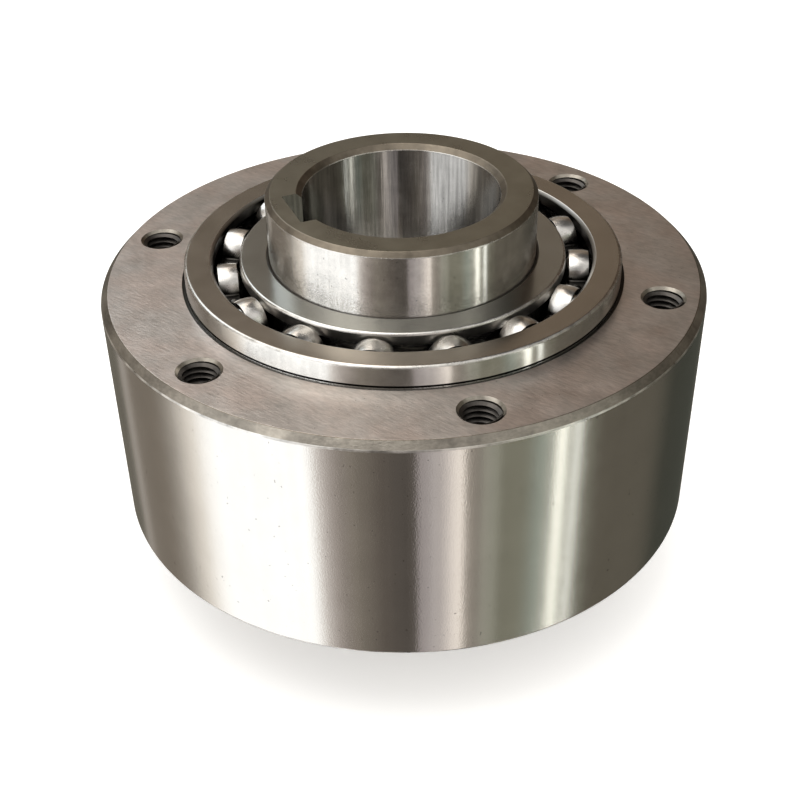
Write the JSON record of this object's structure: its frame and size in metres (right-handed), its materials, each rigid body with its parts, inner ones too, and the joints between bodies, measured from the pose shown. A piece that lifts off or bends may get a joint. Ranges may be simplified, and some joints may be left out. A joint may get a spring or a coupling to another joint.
{
  "type": "sprag clutch",
  "caption": "Steel sprag clutch: keyed hub on two open ball bearings inside a cylindrical outer race with tapped holes in both faces; runs free one way and grips the other.",
  "frame": {"origin": "on the shaft axis, halfway along the clutch", "axes": "+Z along the shaft bore; +X through a tapped hole; the hub runs free counter-clockwise seen from +Z"},
  "size_m": [0.125, 0.125, 0.088],
  "materials": {
    "race_steel": "ground all over, oiled",
    "hub_steel": "ground outside, honed bore, faced ends",
    "ring_steel": "fine ground bearing steel",
    "ball_steel": "lapped bearing balls",
    "cage_steel": "pressed and tumbled sheet steel",
    "retainer_steel": "punched steel strip",
    "spring_steel": "blued spring strip",
    "plate_steel": "stamped washer",
    "sprag_steel": "hardened and tumbled"
  },
  "bodies": {
    "housing": {"outer_race": "race_steel", "upper_bearing_outer_ring": "ring_steel", "lower_bearing_outer_ring": "ring_steel", "upper_side_plate": "plate_steel", "lower_side_plate": "plate_steel", "ribbon_spring": "spring_steel"},
    "hub": {"inner_race": "hub_steel", "upper_bearing_inner_ring": "ring_steel", "lower_bearing_inner_ring": "ring_steel"},
    "upper_ball_cage": {"upper_bearing_balls": "ball_steel", "upper_bearing_cage_outboard": "cage_steel", "upper_bearing_cage_inboard": "cage_steel", "upper_bearing_cage_rivets": "cage_steel"},
    "lower_ball_cage": {"lower_bearing_balls": "ball_steel", "lower_bearing_cage_outboard": "cage_steel", "lower_bearing_cage_inboard": "cage_steel", "lower_bearing_cage_rivets": "cage_steel"},
    "outer_cage": {"sprag_outer_cage": "retainer_steel", "drag_clips": "spring_steel"},
    "inner_cage": {"sprag_inner_cage": "retainer_steel"},
    "sprag_01": {"sprag_01": "sprag_steel"},
    "sprag_02": {"sprag_02": "sprag_steel"},
    "sprag_03": {"sprag_03": "sprag_steel"},
    "sprag_04": {"sprag_04": "sprag_steel"},
    "sprag_05": {"sprag_05": "sprag_steel"},
    "sprag_06": {"sprag_06": "sprag_steel"},
    "sprag_07": {"sprag_07": "sprag_steel"},
    "sprag_08": {"sprag_08": "sprag_steel"},
    "sprag_09": {"sprag_09": "sprag_steel"},
    "sprag_10": {"sprag_10": "sprag_steel"},
    "sprag_11": {"sprag_11": "sprag_steel"},
    "sprag_12": {"sprag_12": "sprag_steel"},
    "sprag_13": {"sprag_13": "sprag_steel"},
    "sprag_14": {"sprag_14": "sprag_steel"},
    "sprag_15": {"sprag_15": "sprag_steel"},
    "sprag_16": {"sprag_16": "sprag_steel"},
    "sprag_17": {"sprag_17": "sprag_steel"},
    "sprag_18": {"sprag_18": "sprag_steel"},
    "sprag_19": {"sprag_19": "sprag_steel"},
    "sprag_20": {"sprag_20": "sprag_steel"},
    "sprag_21": {"sprag_21": "sprag_steel"},
    "sprag_22": {"sprag_22": "sprag_steel"},
    "sprag_23": {"sprag_23": "sprag_steel"},
    "sprag_24": {"sprag_24": "sprag_steel"},
    "sprag_25": {"sprag_25": "sprag_steel"},
    "sprag_26": {"sprag_26": "sprag_steel"}
  },
  "joints": [
    {"name": "hub_spin", "type": "hinge", "parent": "housing", "child": "hub", "pos_m": [0, 0, 0], "axis": [0, 0, 1], "continuous": true},
    {"name": "upper_ball_cage_orbit", "type": "hinge", "parent": "housing", "child": "upper_ball_cage", "pos_m": [0, 0, 0.025], "axis": [0, 0, 1], "continuous": true},
    {"name": "lower_ball_cage_orbit", "type": "hinge", "parent": "housing", "child": "lower_ball_cage", "pos_m": [0, 0, -0.025], "axis": [0, 0, 1], "continuous": true},
    {"name": "sprag_01_tilt", "type": "hinge", "parent": "housing", "child": "sprag_01", "pos_m": [0.03625, 0, 0], "axis": [0, 0, 1], "range_deg": [-6, 2.5], "stiffness_Nm_per_rad": 0.02},
    {"name": "sprag_02_tilt", "type": "hinge", "parent": "housing", "child": "sprag_02", "pos_m": [0.0352, 0.00868, 0], "axis": [0, 0, 1], "range_deg": [-6, 2.5]},
    {"name": "sprag_03_tilt", "type": "hinge", "parent": "housing", "child": "sprag_03", "pos_m": [0.0321, 0.01685, 0], "axis": [0, 0, 1], "range_deg": [-6, 2.5]},
    {"name": "sprag_04_tilt", "type": "hinge", "parent": "housing", "child": "sprag_04", "pos_m": [0.02713, 0.02404, 0], "axis": [0, 0, 1], "range_deg": [-6, 2.5]},
    {"name": "sprag_05_tilt", "type": "hinge", "parent": "housing", "child": "sprag_05", "pos_m": [0.02059, 0.02983, 0], "axis": [0, 0, 1], "range_deg": [-6, 2.5]},
    {"name": "sprag_06_tilt", "type": "hinge", "parent": "housing", "child": "sprag_06", "pos_m": [0.01285, 0.03389, 0], "axis": [0, 0, 1], "range_deg": [-6, 2.5]},
    {"name": "sprag_07_tilt", "type": "hinge", "parent": "housing", "child": "sprag_07", "pos_m": [0.00437, 0.03599, 0], "axis": [0, 0, 1], "range_deg": [-6, 2.5]},
    {"name": "sprag_08_tilt", "type": "hinge", "parent": "housing", "child": "sprag_08", "pos_m": [-0.00437, 0.03599, 0], "axis": [0, 0, 1], "range_deg": [-6, 2.5]},
    {"name": "sprag_09_tilt", "type": "hinge", "parent": "housing", "child": "sprag_09", "pos_m": [-0.01285, 0.03389, 0], "axis": [0, 0, 1], "range_deg": [-6, 2.5]},
    {"name": "sprag_10_tilt", "type": "hinge", "parent": "housing", "child": "sprag_10", "pos_m": [-0.02059, 0.02983, 0], "axis": [0, 0, 1], "range_deg": [-6, 2.5]},
    {"name": "sprag_11_tilt", "type": "hinge", "parent": "housing", "child": "sprag_11", "pos_m": [-0.02713, 0.02404, 0], "axis": [0, 0, 1], "range_deg": [-6, 2.5]},
    {"name": "sprag_12_tilt", "type": "hinge", "parent": "housing", "child": "sprag_12", "pos_m": [-0.0321, 0.01685, 0], "axis": [0, 0, 1], "range_deg": [-6, 2.5]},
    {"name": "sprag_13_tilt", "type": "hinge", "parent": "housing", "child": "sprag_13", "pos_m": [-0.0352, 0.00868, 0], "axis": [0, 0, 1], "range_deg": [-6, 2.5]},
    {"name": "sprag_14_tilt", "type": "hinge", "parent": "housing", "child": "sprag_14", "pos_m": [-0.03625, 0, 0], "axis": [0, 0, 1], "range_deg": [-6, 2.5]},
    {"name": "sprag_15_tilt", "type": "hinge", "parent": "housing", "child": "sprag_15", "pos_m": [-0.0352, -0.00868, 0], "axis": [0, 0, 1], "range_deg": [-6, 2.5]},
    {"name": "sprag_16_tilt", "type": "hinge", "parent": "housing", "child": "sprag_16", "pos_m": [-0.0321, -0.01685, 0], "axis": [0, 0, 1], "range_deg": [-6, 2.5]},
    {"name": "sprag_17_tilt", "type": "hinge", "parent": "housing", "child": "sprag_17", "pos_m": [-0.02713, -0.02404, 0], "axis": [0, 0, 1], "range_deg": [-6, 2.5]},
    {"name": "sprag_18_tilt", "type": "hinge", "parent": "housing", "child": "sprag_18", "pos_m": [-0.02059, -0.02983, 0], "axis": [0, 0, 1], "range_deg": [-6, 2.5]},
    {"name": "sprag_19_tilt", "type": "hinge", "parent": "housing", "child": "sprag_19", "pos_m": [-0.01285, -0.03389, 0], "axis": [0, 0, 1], "range_deg": [-6, 2.5]},
    {"name": "sprag_20_tilt", "type": "hinge", "parent": "housing", "child": "sprag_20", "pos_m": [-0.00437, -0.03599, 0], "axis": [0, 0, 1], "range_deg": [-6, 2.5]},
    {"name": "sprag_21_tilt", "type": "hinge", "parent": "housing", "child": "sprag_21", "pos_m": [0.00437, -0.03599, 0], "axis": [0, 0, 1], "range_deg": [-6, 2.5]},
    {"name": "sprag_22_tilt", "type": "hinge", "parent": "housing", "child": "sprag_22", "pos_m": [0.01285, -0.03389, 0], "axis": [0, 0, 1], "range_deg": [-6, 2.5]},
    {"name": "sprag_23_tilt", "type": "hinge", "parent": "housing", "child": "sprag_23", "pos_m": [0.02059, -0.02983, 0], "axis": [0, 0, 1], "range_deg": [-6, 2.5]},
    {"name": "sprag_24_tilt", "type": "hinge", "parent": "housing", "child": "sprag_24", "pos_m": [0.02713, -0.02404, 0], "axis": [0, 0, 1], "range_deg": [-6, 2.5]},
    {"name": "sprag_25_tilt", "type": "hinge", "parent": "housing", "child": "sprag_25", "pos_m": [0.0321, -0.01685, 0], "axis": [0, 0, 1], "range_deg": [-6, 2.5]},
    {"name": "sprag_26_tilt", "type": "hinge", "parent": "housing", "child": "sprag_26", "pos_m": [0.0352, -0.00868, 0], "axis": [0, 0, 1], "range_deg": [-6, 2.5]},
    {"name": "sprag_outer_cage_shift", "type": "hinge", "parent": "housing", "child": "outer_cage", "pos_m": [0, 0, 0], "axis": [0, 0, 1], "range_deg": [-0.33, 0.14]},
    {"name": "sprag_inner_cage_shift", "type": "hinge", "parent": "housing", "child": "inner_cage", "pos_m": [0, 0, 0], "axis": [0, 0, 1], "range_deg": [-0.16, 0.37]}
  ],
  "couplings": [
    {"joint": "upper_ball_cage_orbit", "follows": "hub_spin", "ratio": 0.44524},
    {"joint": "lower_ball_cage_orbit", "follows": "hub_spin", "ratio": 0.44524},
    {"joint": "sprag_02_tilt", "follows": "sprag_01_tilt", "ratio": 1},
    {"joint": "sprag_03_tilt", "follows": "sprag_01_tilt", "ratio": 1},
    {"joint": "sprag_04_tilt", "follows": "sprag_01_tilt", "ratio": 1},
    {"joint": "sprag_05_tilt", "follows": "sprag_01_tilt", "ratio": 1},
    {"joint": "sprag_06_tilt", "follows": "sprag_01_tilt", "ratio": 1},
    {"joint": "sprag_07_tilt", "follows": "sprag_01_tilt", "ratio": 1},
    {"joint": "sprag_08_tilt", "follows": "sprag_01_tilt", "ratio": 1},
    {"joint": "sprag_09_tilt", "follows": "sprag_01_tilt", "ratio": 1},
    {"joint": "sprag_10_tilt", "follows": "sprag_01_tilt", "ratio": 1},
    {"joint": "sprag_11_tilt", "follows": "sprag_01_tilt", "ratio": 1},
    {"joint": "sprag_12_tilt", "follows": "sprag_01_tilt", "ratio": 1},
    {"joint": "sprag_13_tilt", "follows": "sprag_01_tilt", "ratio": 1},
    {"joint": "sprag_14_tilt", "follows": "sprag_01_tilt", "ratio": 1},
    {"joint": "sprag_15_tilt", "follows": "sprag_01_tilt", "ratio": 1},
    {"joint": "sprag_16_tilt", "follows": "sprag_01_tilt", "ratio": 1},
    {"joint": "sprag_17_tilt", "follows": "sprag_01_tilt", "ratio": 1},
    {"joint": "sprag_18_tilt", "follows": "sprag_01_tilt", "ratio": 1},
    {"joint": "sprag_19_tilt", "follows": "sprag_01_tilt", "ratio": 1},
    {"joint": "sprag_20_tilt", "follows": "sprag_01_tilt", "ratio": 1},
    {"joint": "sprag_21_tilt", "follows": "sprag_01_tilt", "ratio": 1},
    {"joint": "sprag_22_tilt", "follows": "sprag_01_tilt", "ratio": 1},
    {"joint": "sprag_23_tilt", "follows": "sprag_01_tilt", "ratio": 1},
    {"joint": "sprag_24_tilt", "follows": "sprag_01_tilt", "ratio": 1},
    {"joint": "sprag_25_tilt", "follows": "sprag_01_tilt", "ratio": 1},
    {"joint": "sprag_26_tilt", "follows": "sprag_01_tilt", "ratio": 1},
    {"joint": "sprag_outer_cage_shift", "follows": "sprag_01_tilt", "ratio": 0.054759},
    {"joint": "sprag_inner_cage_shift", "follows": "sprag_01_tilt", "ratio": -0.061493}
  ]
}
